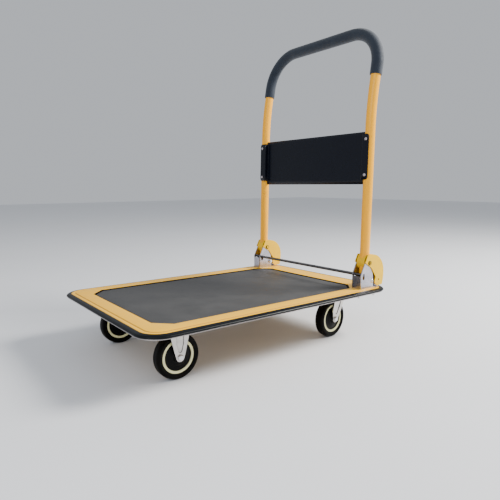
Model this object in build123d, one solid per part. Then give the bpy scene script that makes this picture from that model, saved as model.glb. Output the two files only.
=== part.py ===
from build123d import *
import os
from math import asin, atan2, cos, pi, radians, sin, sqrt, tan

# Folding platform cart. Millimetres. Origin on the floor under the centre of the outline,
# +X along the deck towards the handle, -Y is the left side, +Z up.

os.makedirs("parts", exist_ok=True)

# ---------------------------------------------------------------- driving dimensions
DECK_LENGTH = 702.0
DECK_WIDTH = 482.0
DECK_TOP = 134.0
DECK_CORNER_R = 45.0
SHEET = 2.0
TRIM_BOTTOM = 123.8
TRIM_THICK = 2.0
TRIM_OUT = 7.0

BUMPER_OUT = 9.0
BUMPER_TOP = 132.4
BUMPER_NOSE_R = 2.6

MAT_LENGTH = 586.0
MAT_WIDTH = 386.0
MAT_X = -10.0
MAT_CHAMFER_X = 32.0
MAT_CHAMFER_Y = 33.0
MAT_DROP = 3.0
MAT_THICK = 1.2
MAT_GAP = 1.0

STIFFENER_Y = 70.0
STIFFENER_LENGTH = 600.0
STIFFENER_WIDTH = 44.0
STIFFENER_FLANGE = 14.0
STIFFENER_DEPTH = 16.0
STIFFENER_SHEET = 1.5

CASTER_Y = 150.0
FRONT_AXLE_X = -245.0
SWIVEL_X = 247.5
SWIVEL_OFFSET = 24.0
SWIVEL_REST_ANGLE = 6.2
AXLE_Z = 50.0
WHEEL_R = 50.0
TYRE_WIDTH = 26.0
TYRE_SIDE_R = 37.2
RING_INNER_R = 31.7
RING_HALF = 10.25
WEB_HALF = 5.2
HUB_HALF = 15.8
HUB_R = 13.0
BUSH_R = 6.0
AXLE_R = 4.0
RUN_CLEARANCE = 0.06

PLATE_X = 95.0
PLATE_Y = 67.0
PLATE_THICK = 3.0
STUD_SPACING_X = 75.0
STUD_SPACING_Y = 47.0
STUD_R = 4.0
NUT_ACROSS = 13.0
NUT_HEIGHT = 6.5
LEG_OUTER = 19.0
LEG_SHEET = 2.5
LEG_FOOT_R = 9.3
LEG_RECESS = 1.3

TUBE_R = 12.7
TUBE_WALL = 1.5
TUBE_Y = 210.0
TUBE_X_AT_DECK = 289.16
LEAN_LOW = 1.3626
LEAN_HIGH = 9.6846
LEAN_STRAIGHT = 412.0
LEAN_ARC_R = 811.5
TOP_BAR_RUN = 674.0
TOP_BEND_R = 96.5
TUBE_FOOT_Z = 156.0
GRIP_R = 15.7
GRIP_START_RUN = 550.3

PIVOT_Z = 202.0
PIVOT_R = 4.0
PIVOT_HEAD_R = 5.6
PIVOT_HEAD = 2.4

BRACKET_SHEET = 2.2
EAR_HALF = 15.3
BRACKET_FRONT = 260.5
BRACKET_SHOULDER_Z = 171.0
BRACKET_WEB_TOP = 168.0
EAR_REAR = 311.0
EAR_REAR_Z = 150.0
BRACKET_BASE_REAR = 338.0
EAR_APEX_R = 13.0
BRACKET_BOLT_X = (268.5, 329.0)
BRACKET_BOLT_Y = 214.0
TIE_BOLT_X = 305.5
TIE_BOLT_Z = 152.5
TIE_BOLT_R = 3.0
TIE_HEAD_R = 5.4

CAM_SHEET = 2.5
CAM_HALF = 18.1
CAM_NOSE_HALF = 12.8

BAR_X = 271.0
BAR_Z = 171.0
BAR_R = 4.0
BAR_HALF = 225.0
BAR_TRAVEL = 8.0
SPRING_Y = 203.0
SPRING_R = 4.0
SPRING_WIRE_R = 0.6
SPRING_TURNS = 6.0

PANEL_SHEET = 1.6
PANEL_LOW = 273.0
PANEL_HIGH = 408.0
TAB_LOW = 285.0
TAB_HIGH = 401.0
TAB_OUT = 217.5
TAB_CORNER_R = 7.0
HEM_HEIGHT = 7.0
SCREW_RUNS = (297.1, 388.1)
SCREW_Y = 209.0
SCREW_HEAD_R = 4.0
SCREW_HEAD = 2.2
SCREW_R = 1.9

CASTER_SEAT = DECK_TOP - MAT_DROP - SHEET
PIVOT_X = TUBE_X_AT_DECK + (PIVOT_Z - DECK_TOP) * tan(radians(LEAN_LOW))
FRONT, REAR = "front", "rear"
SIDES = {"left": -1, "right": 1}


def save(shape, name):
    export_step(shape, os.path.join("parts", name + ".step"))
    print(name, round(shape.volume, 1))


def cyl(radius, z_low, z_high, x=0.0, y=0.0):
    """Upright cylinder between two heights."""
    return Pos(x, y, z_low) * Cylinder(radius, z_high - z_low, align=(Align.CENTER, Align.CENTER, Align.MIN))


def cyl_y(radius, y_low, y_high, x=0.0, z=0.0):
    """Cylinder along Y between two y values."""
    return Pos(x, y_low, z) * Rot(-90, 0, 0) * Cylinder(
        radius, y_high - y_low, align=(Align.CENTER, Align.CENTER, Align.MIN))


def box(x_low, x_high, y_low, y_high, z_low, z_high):
    return Pos(x_low, y_low, z_low) * Box(
        x_high - x_low, y_high - y_low, z_high - z_low, align=(Align.MIN, Align.MIN, Align.MIN))


def slab(face, z_low, z_high):
    """A face drawn at z = 0, thickened between two heights."""
    return Pos(0, 0, z_low) * extrude(face, z_high - z_low)


def side_plate(face, y_low, y_high):
    """A face drawn as (x, z), thickened between two y values."""
    return Pos(0, y_low, 0) * extrude(Plane.XZ * face, -(y_high - y_low))


def mirrored(shape):
    return mirror(shape, Plane.XZ)


def hex_prism(across, z_low, z_high, x=0.0, y=0.0, turn=0.0):
    face = RegularPolygon(across / 2, 6, major_radius=False)
    return Pos(x, y, z_low) * Rot(0, 0, turn) * extrude(face, z_high - z_low)


def deck_outline(grow):
    return RectangleRounded(DECK_LENGTH + 2 * grow, DECK_WIDTH + 2 * grow, DECK_CORNER_R + grow)


def mat_outline(grow):
    half_x = MAT_LENGTH / 2 + grow
    half_y = MAT_WIDTH / 2 + grow
    cut_x = MAT_CHAMFER_X + 0.41 * grow
    cut_y = MAT_CHAMFER_Y + 0.41 * grow
    corner = [(half_x, half_y - cut_y), (half_x - cut_x, half_y)]
    points = corner + [(-x, y) for x, y in reversed(corner)]
    points = points + [(-x, -y) for x, y in points]
    return Pos(MAT_X, 0, 0) * make_face(Polyline(*points, close=True))


# ---------------------------------------------------------------- handle path
def spine(run):
    """Point (x, z) on the handle's side view, at a distance along it from deck level."""
    low = radians(LEAN_LOW)
    high = radians(LEAN_HIGH)
    x = TUBE_X_AT_DECK + min(run, LEAN_STRAIGHT) * sin(low)
    z = DECK_TOP + min(run, LEAN_STRAIGHT) * cos(low)
    arc_length = LEAN_ARC_R * (high - low)
    if run > LEAN_STRAIGHT:
        lean = low + min(run - LEAN_STRAIGHT, arc_length) / LEAN_ARC_R
        x += LEAN_ARC_R * (cos(low) - cos(lean))
        z += LEAN_ARC_R * (sin(lean) - sin(low))
    if run > LEAN_STRAIGHT + arc_length:
        rest = run - LEAN_STRAIGHT - arc_length
        x += rest * sin(high)
        z += rest * cos(high)
    return x, z


def handle_path(first_run):
    """Centreline from a leg, over the top bar, to the same height on the other leg."""
    arc_length = LEAN_ARC_R * radians(LEAN_HIGH - LEAN_LOW)
    lean_end = LEAN_STRAIGHT + arc_length
    bend_start = TOP_BAR_RUN - TOP_BEND_R

    def at(run, y):
        x, z = spine(run)
        return (x, y, z)

    def one_side(sign):
        pieces = []
        if first_run < LEAN_STRAIGHT:
            arc_start = at(LEAN_STRAIGHT, sign * TUBE_Y)
            middle = at(LEAN_STRAIGHT + arc_length / 2, sign * TUBE_Y)
            pieces.append(Line(at(first_run, sign * TUBE_Y), arc_start))
            pieces.append(ThreePointArc(arc_start, middle, at(lean_end, sign * TUBE_Y)))
        pieces.append(Line(at(max(first_run, lean_end), sign * TUBE_Y), at(bend_start, sign * TUBE_Y)))
        cut = TOP_BEND_R * (1 - cos(radians(45)))
        middle = at(bend_start + TOP_BEND_R * sin(radians(45)), sign * (TUBE_Y - cut))
        end = at(TOP_BAR_RUN, sign * (TUBE_Y - TOP_BEND_R))
        pieces.append(ThreePointArc(at(bend_start, sign * TUBE_Y), middle, end))
        return pieces

    top = Line(at(TOP_BAR_RUN, -(TUBE_Y - TOP_BEND_R)), at(TOP_BAR_RUN, TUBE_Y - TOP_BEND_R))
    return Wire(one_side(-1) + [top] + one_side(1))


def swept(path, radius):
    """Round bar along a path."""
    start = path @ 0
    plane = Plane(origin=start, z_dir=path % 0)
    return sweep(plane * Circle(radius), path=path)


def leaning(shape):
    """Place a shape drawn in handle axes: x across the lean, z along the straight leg from deck level."""
    return Pos(TUBE_X_AT_DECK, 0, DECK_TOP) * Rot(0, LEAN_LOW, 0) * shape


# ---------------------------------------------------------------- deck
def make_deck_pan():
    recess_top = DECK_TOP - MAT_DROP
    recess_bottom = recess_top - SHEET
    top_edge = slab(deck_outline(0), DECK_TOP - SHEET, DECK_TOP)
    border = fillet(top_edge.faces().sort_by(Axis.Z)[-1].edges(), 1.8) - slab(mat_outline(0), 100, 200)
    joggle = slab(mat_outline(SHEET), recess_bottom, DECK_TOP - SHEET / 2) - slab(mat_outline(0), 100, 200)
    floor = slab(mat_outline(0), recess_bottom, recess_top)
    wall_bottom = TRIM_BOTTOM + TRIM_THICK
    wall = slab(deck_outline(0), wall_bottom, DECK_TOP - SHEET) - slab(deck_outline(-SHEET), 100, 200)
    pan = border + joggle + floor + wall
    for x, y in bracket_bolt_spots():
        pan -= cyl(3.2, 100, 200, x, y)
    return pan


def make_mat():
    bottom = DECK_TOP - MAT_DROP
    mat = slab(mat_outline(-MAT_GAP), bottom, bottom + MAT_THICK)
    return chamfer(mat.faces().sort_by(Axis.Z)[-1].edges(), 0.6)


def inside_wall(point):
    return abs(point.X) < DECK_LENGTH / 2 - 15 and abs(point.Y) < DECK_WIDTH / 2 - 15


def make_trim():
    """Thin bright strip under the deck's wall, which carries the bumper."""
    strip = slab(deck_outline(TRIM_OUT), TRIM_BOTTOM, TRIM_BOTTOM + TRIM_THICK)
    strip -= slab(deck_outline(-6), 100, 200)
    outer = [e for e in strip.edges() if not inside_wall(e.center())]
    return fillet(outer, 0.6)


def make_bumper():
    """Rubber strip outside the deck's wall, round nosed."""
    bottom = TRIM_BOTTOM + TRIM_THICK
    strip = slab(deck_outline(BUMPER_OUT), bottom, BUMPER_TOP)
    nose = [e for e in strip.edges() if e.center().Z < bottom + 0.1 or e.center().Z > BUMPER_TOP - 0.1]
    return fillet(nose, BUMPER_NOSE_R) - slab(deck_outline(0), 100, 200)


def make_stiffener(side):
    top = CASTER_SEAT
    half = STIFFENER_WIDTH / 2
    wing = half + STIFFENER_FLANGE
    low = top - STIFFENER_DEPTH
    outer = box(-STIFFENER_LENGTH / 2, STIFFENER_LENGTH / 2, -half, half, low, top)
    inner = box(-STIFFENER_LENGTH / 2, STIFFENER_LENGTH / 2, -half + STIFFENER_SHEET, half - STIFFENER_SHEET,
                low + STIFFENER_SHEET, top)
    shape = outer - inner
    for sign in (-1, 1):
        y_low, y_high = sorted((sign * half, sign * wing))
        shape += box(-STIFFENER_LENGTH / 2, STIFFENER_LENGTH / 2, y_low, y_high, top - STIFFENER_SHEET, top)
    return Pos(MAT_X, side * STIFFENER_Y, 0) * shape


# ---------------------------------------------------------------- hinge brackets
def bracket_bolt_spots():
    return [(x, side * BRACKET_BOLT_Y) for side in SIDES.values() for x in BRACKET_BOLT_X]


def ear_face():
    """Side view (x, z) of an ear: upright front, sloping up to a round top about the pivot."""
    dx = PIVOT_X - BRACKET_FRONT
    dz = PIVOT_Z - BRACKET_SHOULDER_Z
    reach = sqrt(dx * dx + dz * dz)
    angle = atan2(dz, dx) + asin(EAR_APEX_R / reach)
    run = sqrt(reach * reach - EAR_APEX_R * EAR_APEX_R)
    touch = (BRACKET_FRONT + run * cos(angle), BRACKET_SHOULDER_Z + run * sin(angle))
    right = (PIVOT_X + EAR_APEX_R, PIVOT_Z)
    top = (PIVOT_X, PIVOT_Z + EAR_APEX_R)
    outline = [
        Polyline((EAR_REAR, DECK_TOP), (BRACKET_FRONT, DECK_TOP), (BRACKET_FRONT, BRACKET_SHOULDER_Z), touch),
        ThreePointArc(touch, top, right),
        Polyline(right, (EAR_REAR, EAR_REAR_Z), (EAR_REAR, DECK_TOP)),
    ]
    return make_face(outline)


def make_bracket():
    """Right-hand bracket: front web, base and two ears bent from one sheet."""
    y_in = TUBE_Y - EAR_HALF
    y_out = TUBE_Y + EAR_HALF
    bracket = side_plate(ear_face(), y_in, y_in + BRACKET_SHEET)
    bracket += side_plate(ear_face(), y_out - BRACKET_SHEET, y_out)
    bracket += box(BRACKET_FRONT, BRACKET_FRONT + BRACKET_SHEET, y_in, y_out, DECK_TOP, BRACKET_WEB_TOP)
    bracket += box(BRACKET_FRONT, BRACKET_BASE_REAR, y_in, y_out, DECK_TOP, DECK_TOP + BRACKET_SHEET)
    corners = bracket.edges().filter_by(Axis.Z).filter_by(
        lambda e: abs(e.center().X - BRACKET_FRONT) < 0.1 and e.length > 30)
    bracket = fillet(corners, 2.0)
    rear = bracket.edges().filter_by(Axis.Z).filter_by(lambda e: e.center().X > BRACKET_BASE_REAR - 0.1)
    bracket = fillet(rear, 7.0)
    bracket -= cyl_y(PIVOT_R + 0.02, y_in - 5, y_out + 5, PIVOT_X, PIVOT_Z)
    bracket -= cyl_y(TIE_BOLT_R + 0.02, y_in - 5, y_out + 5, TIE_BOLT_X, TIE_BOLT_Z)
    slot = Pos(BAR_X, BAR_Z - BAR_TRAVEL / 2) * Rot(0, 0, 90) * SlotOverall(
        BAR_TRAVEL + 2 * BAR_R + 0.8, 2 * BAR_R + 0.5)
    bracket -= side_plate(slot, y_in - 5, y_out + 5)
    for x in BRACKET_BOLT_X:
        bracket -= cyl(3.2, 100, 150, x, BRACKET_BOLT_Y)
    return bracket


def make_pivot_pin():
    y_in = TUBE_Y - CAM_HALF - 0.3
    y_out = TUBE_Y + CAM_HALF + 0.3
    pin = cyl_y(PIVOT_R, y_in - 1, y_out + 1, PIVOT_X, PIVOT_Z)
    pin += cyl_y(PIVOT_HEAD_R, y_out, y_out + PIVOT_HEAD, PIVOT_X, PIVOT_Z)
    pin += cyl_y(PIVOT_HEAD_R, y_in - PIVOT_HEAD, y_in, PIVOT_X, PIVOT_Z)
    rims = [e for e in pin.edges() if abs(abs(e.center().Y - TUBE_Y) - (y_out + PIVOT_HEAD - TUBE_Y)) < 0.01]
    pin = chamfer(rims, 0.8)
    return pin - cyl_y(2.6, y_out + 0.6, y_out + 5, PIVOT_X, PIVOT_Z)


def make_tie_bolt():
    """Dome-headed bolt that ties the two ears together behind the handle's foot."""
    y_in = TUBE_Y - EAR_HALF
    y_out = TUBE_Y + EAR_HALF
    shank = cyl_y(TIE_BOLT_R, y_in - 6, y_out, TIE_BOLT_X, TIE_BOLT_Z)
    dome_height = 3.4
    dome_r = (TIE_HEAD_R ** 2 + dome_height ** 2) / (2 * dome_height)
    ball = Pos(TIE_BOLT_X, y_out + dome_height - dome_r, TIE_BOLT_Z) * Sphere(dome_r)
    head = ball & box(250, 350, y_out, y_out + 10, 100, 200)
    return shank + head


def make_tie_nut():
    y_in = TUBE_Y - EAR_HALF
    prism = extrude(RegularPolygon(5, 6, major_radius=False), 4.5)
    turned = Pos(TIE_BOLT_X, y_in, TIE_BOLT_Z) * Rot(90, 0, 0) * prism
    return turned - cyl_y(TIE_BOLT_R + 0.02, y_in - 20, y_in + 20, TIE_BOLT_X, TIE_BOLT_Z)


def bracket_bolt(x, y):
    seat = DECK_TOP + BRACKET_SHEET
    return hex_prism(10, seat, seat + 3.6, x, y) + cyl(3.0, DECK_TOP - 26, seat, x, y)


def bracket_nut(x, y):
    top = DECK_TOP - SHEET
    nut = hex_prism(10, top - 5, top, x, y, 15)
    return nut - cyl(3.05, 100, 200, x, y)


# ---------------------------------------------------------------- handle
def make_handle_tube():
    path = handle_path((TUBE_FOOT_Z - DECK_TOP) / cos(radians(LEAN_LOW)))
    tube = swept(path, TUBE_R) - swept(path, TUBE_R - TUBE_WALL)
    hole = cyl_y(PIVOT_R + RUN_CLEARANCE, -300, 300, PIVOT_X, PIVOT_Z)
    tube -= hole
    for run in SCREW_RUNS:
        for side in SIDES.values():
            tube -= leaning(Pos(-TUBE_R - 1, side * SCREW_Y, run) * Rot(0, 90, 0) * Cylinder(
                SCREW_R + 0.02, 6, align=(Align.CENTER, Align.CENTER, Align.MIN)))
    return tube


def make_grip():
    path = handle_path(GRIP_START_RUN)
    return swept(path, GRIP_R) - swept(path, TUBE_R)


def cam_outline():
    """Side view (x, z) of a hinge cheek: broad rounded lobe behind, cut away in front and under the pivot."""
    crown_end = (300, 223.5)
    widest = (349.6, 182)
    lobe_end = (345, 139)
    outline = [
        Line((284, 223.5), crown_end),
        ThreePointArc(crown_end, (333.5, 211.5), widest),
        ThreePointArc(widest, (349.5, 160), lobe_end),
        Polyline(lobe_end, (325, 137.2), (315, 145), (315, 155), (318, 161.5), (299.5, 188), (281, 199),
                 (273.5, 203.5), (284, 223.5)),
    ]
    face = make_face(outline)
    corners = [v for v in face.vertices() if abs(v.X - crown_end[0]) > 1 and abs(v.X - widest[0]) > 1]
    return fillet(corners, 2.2)


def make_cam():
    """Right-hand cam: two cheeks outside the ears, a wall over their back, and a nose between the ears."""
    y_in = TUBE_Y - CAM_HALF
    y_out = TUBE_Y + CAM_HALF
    outline = cam_outline()
    cam = side_plate(outline, y_in, y_in + CAM_SHEET) + side_plate(outline, y_out - CAM_SHEET, y_out)
    wall_front = 287
    back = make_face(Polyline((wall_front, 230), (360, 230), (360, 137), (336, 137), (336, 185), (318, 205),
                              (wall_front, 213), close=True))
    cam += side_plate((outline - offset(outline, -CAM_SHEET)) & back, y_in, y_out)
    nose = make_face(Polyline((292, 223.5), (284, 223.5), (277.5, 213), (275.3, 206), (275.3, 200),
                              (277.5, 193.5), (281, 188), (284, 187), (284, 212), close=True))
    cam += side_plate(nose, TUBE_Y - CAM_NOSE_HALF, TUBE_Y + CAM_NOSE_HALF)
    cam -= leaning(cyl(TUBE_R + 0.05, -20, 150, 0, TUBE_Y))
    cam -= cyl_y(PIVOT_R + RUN_CLEARANCE, y_in - 5, y_out + 5, PIVOT_X, PIVOT_Z)
    return cam - cyl_y(2.2, y_in - 5, y_out + 5, 330, 154)


def make_panel():
    """Sheet between the legs, stepped forward beside each leg and lapped over its front."""
    half = PANEL_SHEET / 2
    inside = TUBE_Y - TUBE_R - 0.3
    front = -TUBE_R - 0.05
    height = PANEL_HIGH - PANEL_LOW
    panel = box(-half, half, -inside, inside, PANEL_LOW, PANEL_HIGH)
    panel += box(half, half + PANEL_SHEET, -inside + 6, inside - 6, PANEL_LOW, PANEL_LOW + HEM_HEIGHT)
    for side in SIDES.values():
        y_low, y_high = sorted((side * (inside - PANEL_SHEET), side * inside))
        panel += box(front - PANEL_SHEET, half, y_low, y_high, PANEL_LOW, PANEL_LOW + height)
        y_low, y_high = sorted((side * (inside - PANEL_SHEET), side * TAB_OUT))
        tab = box(front - PANEL_SHEET, front, y_low, y_high, TAB_LOW, TAB_HIGH)
        outer = tab.edges().filter_by(Axis.X).filter_by(lambda e: abs(abs(e.center().Y) - TAB_OUT) < 0.1)
        panel += fillet(outer, TAB_CORNER_R)
    slope = TAB_LOW - PANEL_LOW
    for z, sign in ((PANEL_LOW, 1), (PANEL_HIGH, -1)):
        wedge = make_face(Polyline((front - 3, z - sign), (-half - 1, z - sign),
                                   (front - 3, z + sign * slope), close=True))
        panel -= side_plate(wedge, -250, 250)
    for side in SIDES.values():
        for run in SCREW_RUNS:
            panel -= Pos(front - 3, side * SCREW_Y, run) * Rot(0, 90, 0) * Cylinder(
                SCREW_R + 0.02, 6, align=(Align.CENTER, Align.CENTER, Align.MIN))
    return leaning(panel)


def make_panel_screw(side, run):
    seat = -TUBE_R - 0.05 - PANEL_SHEET
    shank = Pos(seat, side * SCREW_Y, run) * Rot(0, 90, 0) * Cylinder(
        SCREW_R, 5, align=(Align.CENTER, Align.CENTER, Align.MIN))
    head = Pos(seat - SCREW_HEAD, side * SCREW_Y, run) * Rot(0, 90, 0) * Cylinder(
        SCREW_HEAD_R, SCREW_HEAD, align=(Align.CENTER, Align.CENTER, Align.MIN))
    rim = head.edges().filter_by(GeomType.CIRCLE).sort_by(Axis.X)[0]
    return leaning(fillet(rim, 1.4) + shank)


# ---------------------------------------------------------------- release bar
def make_release_bar():
    bar = cyl_y(BAR_R, -BAR_HALF, BAR_HALF, BAR_X, BAR_Z)
    ends = [e for e in bar.edges() if abs(abs(e.center().Y) - BAR_HALF) < 0.01]
    return chamfer(ends, 0.8)


def make_release_spring(side):
    low = DECK_TOP + BRACKET_SHEET + SPRING_WIRE_R + 0.05
    high = BAR_Z - BAR_R - SPRING_WIRE_R - 0.05
    mean_r = SPRING_R - SPRING_WIRE_R
    coil = Helix(pitch=(high - low) / SPRING_TURNS, height=high - low, radius=mean_r)
    wire = sweep(Plane(origin=coil @ 0, z_dir=coil % 0) * Circle(SPRING_WIRE_R), path=coil, is_frenet=True)
    return Pos(BAR_X, side * SPRING_Y, low) * wire


# ---------------------------------------------------------------- casters, drawn about their own axis
def plate_spots():
    half_x = STUD_SPACING_X / 2
    half_y = STUD_SPACING_Y / 2
    return [(x, y) for x in (-half_x, half_x) for y in (-half_y, half_y)]


def plate_blank(top):
    plate = slab(RectangleRounded(PLATE_X, PLATE_Y, 8), top - PLATE_THICK, top)
    for x, y in plate_spots():
        plate -= slab(Pos(x, y) * SlotOverall(12.5, 8.6), 100, 200)
    return plate


def leg_face(points, axle_x):
    """Side view (x, z) of a fork leg: straight tapering sides down to a round foot about the axle."""
    profile = make_face(Polyline(*points, close=True))
    return profile + Pos(axle_x, AXLE_Z) * Circle(LEG_FOOT_R)


def leg_recess(*points):
    """Pressed recess of a fork leg, open towards the crown; the last point is the lowest of its round end."""
    return make_face([Polyline(*points[:-1]), ThreePointArc(points[-2], points[-1], points[0])])


def recess_cut(recess, side):
    low, high = sorted((side * (LEG_OUTER - LEG_RECESS), side * (LEG_OUTER + 1)))
    return side_plate(recess, low, high)


def make_rigid_fork():
    top = CASTER_SEAT
    crown = top - PLATE_THICK
    profile = leg_face([(-9.3, 48), (9.3, 48), (13.3, 62), (20.8, 92), (27, crown + 1),
                        (-27, crown + 1), (-20.8, 92), (-13.3, 62)], 0)
    fork = plate_blank(top)
    recess = leg_recess((-5, 65.5), (-8.6, 79), (-10.6, 121), (10.6, 121), (8.6, 79), (5, 65.5), (0, 60.5))
    for side in SIDES.values():
        y_low, y_high = sorted((side * (LEG_OUTER - LEG_SHEET), side * LEG_OUTER))
        leg = side_plate(profile, y_low, y_high)
        fork += leg - recess_cut(recess, side)
    return fork - cyl_y(AXLE_R + 0.05, -40, 40, 0, AXLE_Z)


def make_swivel_fork():
    """Fork about the swivel axis, with its wheel trailing towards -X."""
    axle_x = -SWIVEL_OFFSET
    crown_top = 115.5
    crown_sheet = 3.0
    profile = leg_face([(axle_x - 9.3, 48), (axle_x + 9, 46), (0, 70), (14, 96), (20, crown_top),
                        (-24, crown_top), (-28, 96), (-35, 70)], axle_x)
    recess = leg_recess((-25.5, 68), (-21.5, 84), (-16, 107), (7, 107), (-4.5, 84), (-15, 65.5), (-21, 62))
    fork = None
    for side in SIDES.values():
        y_low, y_high = sorted((side * (LEG_OUTER - LEG_SHEET), side * LEG_OUTER))
        leg = side_plate(profile, y_low, y_high) - recess_cut(recess, side)
        fork = leg if fork is None else fork + leg
    fork += box(-24, 20, -LEG_OUTER, LEG_OUTER, crown_top - crown_sheet, crown_top)
    fork += cyl(26, crown_top - crown_sheet, crown_top)
    groove = Pos(0, 0, crown_top + 2.0) * Torus(20, 3.05)
    fork += cyl(25, crown_top - 0.5, crown_top + 2.0) - cyl(15, 100, 130)
    fork -= groove
    fork -= cyl(6 + RUN_CLEARANCE, 90, 130)
    return fork - cyl_y(AXLE_R + 0.05, -40, 40, axle_x, AXLE_Z)


def make_swivel_plate():
    top = CASTER_SEAT
    low = top - PLATE_THICK
    cup = cyl(28, low - 6.2, low + 0.5) - cyl(25.4, low - 10, low)
    groove = Pos(0, 0, 117.6 + 0.1) * Torus(20, 3.1)
    race = cyl(25.4, 118.2, low + 0.5) - cyl(14, 100, low) - groove
    plate = plate_blank(top) + (cup - cyl(25.4, 100, 119)) + race
    return plate - cyl(6.02, 90, 140)


def make_swivel_balls():
    balls = []
    for index in range(16):
        angle = 2 * pi * index / 16
        balls.append(Pos(20 * cos(angle), 20 * sin(angle), 117.5) * Sphere(2.95))
    return Compound(children=balls)


def make_kingpin():
    pin = cyl(6.0, 110, CASTER_SEAT)
    return pin + cyl(9.0, 107.6, 112.2)


def make_axle(head_side):
    """Bolt across the fork, its round head outside one leg."""
    y_low, y_high = sorted((head_side * LEG_OUTER, -head_side * (LEG_OUTER + 8.5)))
    bolt = cyl_y(AXLE_R, y_low, y_high, 0, AXLE_Z)
    y_low, y_high = sorted((head_side * LEG_OUTER, head_side * (LEG_OUTER + 4.4)))
    head = cyl_y(6.6, y_low, y_high, 0, AXLE_Z)
    rim = [e for e in head.edges() if abs(e.center().Y - head_side * (LEG_OUTER + 4.4)) < 0.01]
    return bolt + fillet(rim, 2.4)


def make_axle_nut(head_side):
    start = -head_side * LEG_OUTER
    prism = extrude(RegularPolygon(6.5, 6, major_radius=False), 6.5)
    turned = Pos(0, start, AXLE_Z) * Rot(90 * head_side, 0, 0) * prism
    return turned - cyl_y(AXLE_R + 0.03, -60, 60, 0, AXLE_Z)


def make_tyre():
    half = TYRE_WIDTH / 2
    outline = [(TYRE_SIDE_R, -RING_HALF), (TYRE_SIDE_R, RING_HALF), (41, half - 0.6), (44, half),
               (46.5, half - 0.8), (48.8, half - 3.2), (WHEEL_R, half - 7.0)]
    points = outline + [(r, -y) for r, y in reversed(outline[2:])]
    face = make_face(Polyline(*points, close=True))
    return Pos(0, 0, AXLE_Z) * revolve(face, Axis.Y)


def make_core():
    """Nylon disc and the pale ring that shows beside the tyre."""
    outline = [(BUSH_R, WEB_HALF), (RING_INNER_R, WEB_HALF), (RING_INNER_R, RING_HALF - 0.6),
               (RING_INNER_R + 0.6, RING_HALF), (TYRE_SIDE_R, RING_HALF)]
    points = outline + [(r, -y) for r, y in reversed(outline)]
    face = make_face(Polyline(*points, close=True))
    return Pos(0, 0, AXLE_Z) * revolve(face, Axis.Y)


def make_hub_cover():
    """A dished disc with a hub boss on each face of the wheel, inside the ring."""
    low = WEB_HALF + 0.1
    rim = RING_INNER_R - 0.1
    outline = [(BUSH_R, low), (rim, low), (rim, 8.2), (rim - 2, 9.0), (20, 9.6), (18, 11.6), (HUB_R, 12.0),
               (HUB_R - 0.8, HUB_HALF), (BUSH_R, HUB_HALF)]
    face = make_face(Polyline(*outline, close=True))
    disc = Pos(0, 0, AXLE_Z) * revolve(face, Axis.Y)
    return Compound(children=[disc, mirrored(disc)])


def make_bush():
    return cyl_y(BUSH_R, -HUB_HALF - 0.3, HUB_HALF + 0.3, 0, AXLE_Z) - cyl_y(
        AXLE_R + RUN_CLEARANCE, -60, 60, 0, AXLE_Z)


# ---------------------------------------------------------------- assembly
def swivel_place(side):
    return Pos(SWIVEL_X, side * CASTER_Y, 0) * Rot(0, 0, SWIVEL_REST_ANGLE)


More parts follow.
